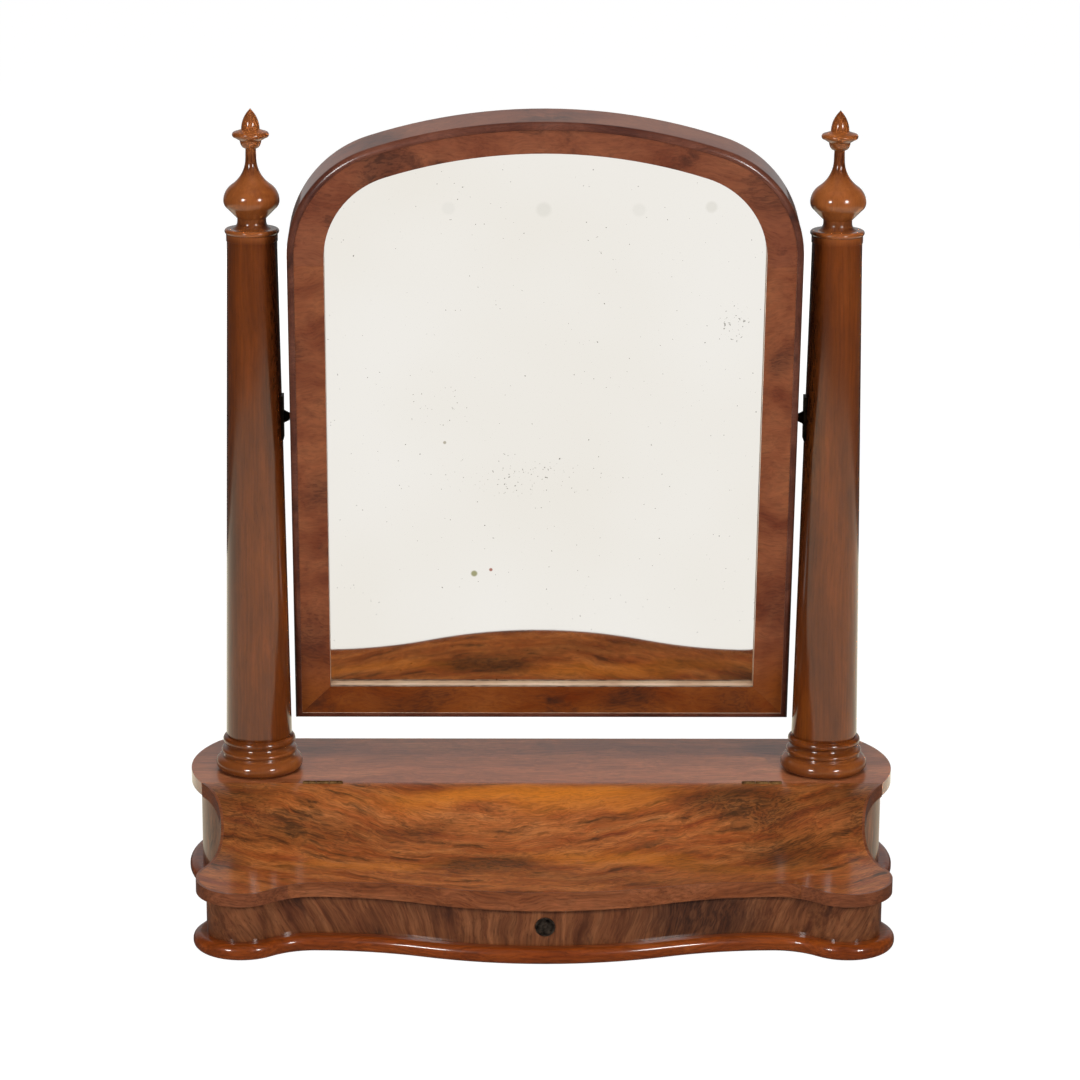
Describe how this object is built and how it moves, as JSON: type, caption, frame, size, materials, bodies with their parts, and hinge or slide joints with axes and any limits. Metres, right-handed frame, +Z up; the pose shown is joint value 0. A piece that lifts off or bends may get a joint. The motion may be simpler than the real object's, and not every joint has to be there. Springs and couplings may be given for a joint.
{
  "type": "swing toilet mirror on a box",
  "caption": "Arched swing mirror between two turned columns on a serpentine box with a hinged ogee lid and a central lock.",
  "frame": {"origin": "on the surface the box stands on, under the middle of the box's width and depth", "axes": "+Z up, the front of the box faces -Y, +X to the right seen from the front"},
  "size_m": [0.688, 0.344, 0.7529],
  "materials": {
    "mahogany_plain": "french polished",
    "crossbanded_frieze": "french polished",
    "carcase_pine": "bare",
    "turned_mahogany": "french polished",
    "flame_veneer": "french polished",
    "lid_edging_dark": "french polished",
    "lid_edging_light": "french polished",
    "frame_veneer": "french polished",
    "silvered_glass": "polished, lightly foxed",
    "brass": "dull",
    "steel": "dull"
  },
  "bodies": {
    "box": {"plinth_board": "mahogany_plain", "front_frieze": "crossbanded_frieze", "side_wall_left": "crossbanded_frieze", "side_wall_right": "crossbanded_frieze", "back_panel": "carcase_pine", "partition": "carcase_pine", "rear_board": "mahogany_plain", "column_blocks": "carcase_pine", "column_left": "turned_mahogany", "column_right": "turned_mahogany", "finial_left": "turned_mahogany", "finial_right": "turned_mahogany", "hinge_leaves_fixed": "brass", "hinge_pins": "brass", "hinge_screws_fixed": "brass", "lock_case": "brass", "lock_cup": "steel", "lock_screws": "steel", "column_plate_left": "brass", "column_plate_right": "brass", "pivot_stud_left": "brass", "pivot_stud_right": "brass", "column_plate_screws": "steel"},
    "lid": {"lid_panel": "flame_veneer", "lid_edging_front": "lid_edging_dark", "lid_edging_left": "lid_edging_light", "lid_edging_right": "lid_edging_light", "hinge_leaves_moving": "brass", "hinge_screws_moving": "brass", "lock_catch": "brass", "catch_screws": "steel"},
    "mirror": {"bottom_rail": "frame_veneer", "stile_left": "frame_veneer", "stile_right": "frame_veneer", "arch_top": "frame_veneer", "mirror_glass": "silvered_glass", "backboard": "carcase_pine", "glazing_blocks": "carcase_pine", "backboard_screws": "steel", "frame_plate_left": "brass", "frame_plate_right": "brass", "frame_plate_screws": "steel"}
  },
  "joints": [
    {"name": "lid_hinge", "type": "hinge", "parent": "box", "child": "lid", "pos_m": [0, 0.0342, 0.1065], "axis": [-1, 0, 0], "range_deg": [0, 95]},
    {"name": "mirror_tilt", "type": "hinge", "parent": "box", "child": "mirror", "pos_m": [0, 0.0825, 0.4565], "axis": [1, 0, 0], "range_deg": [-13, 20]}
  ]
}
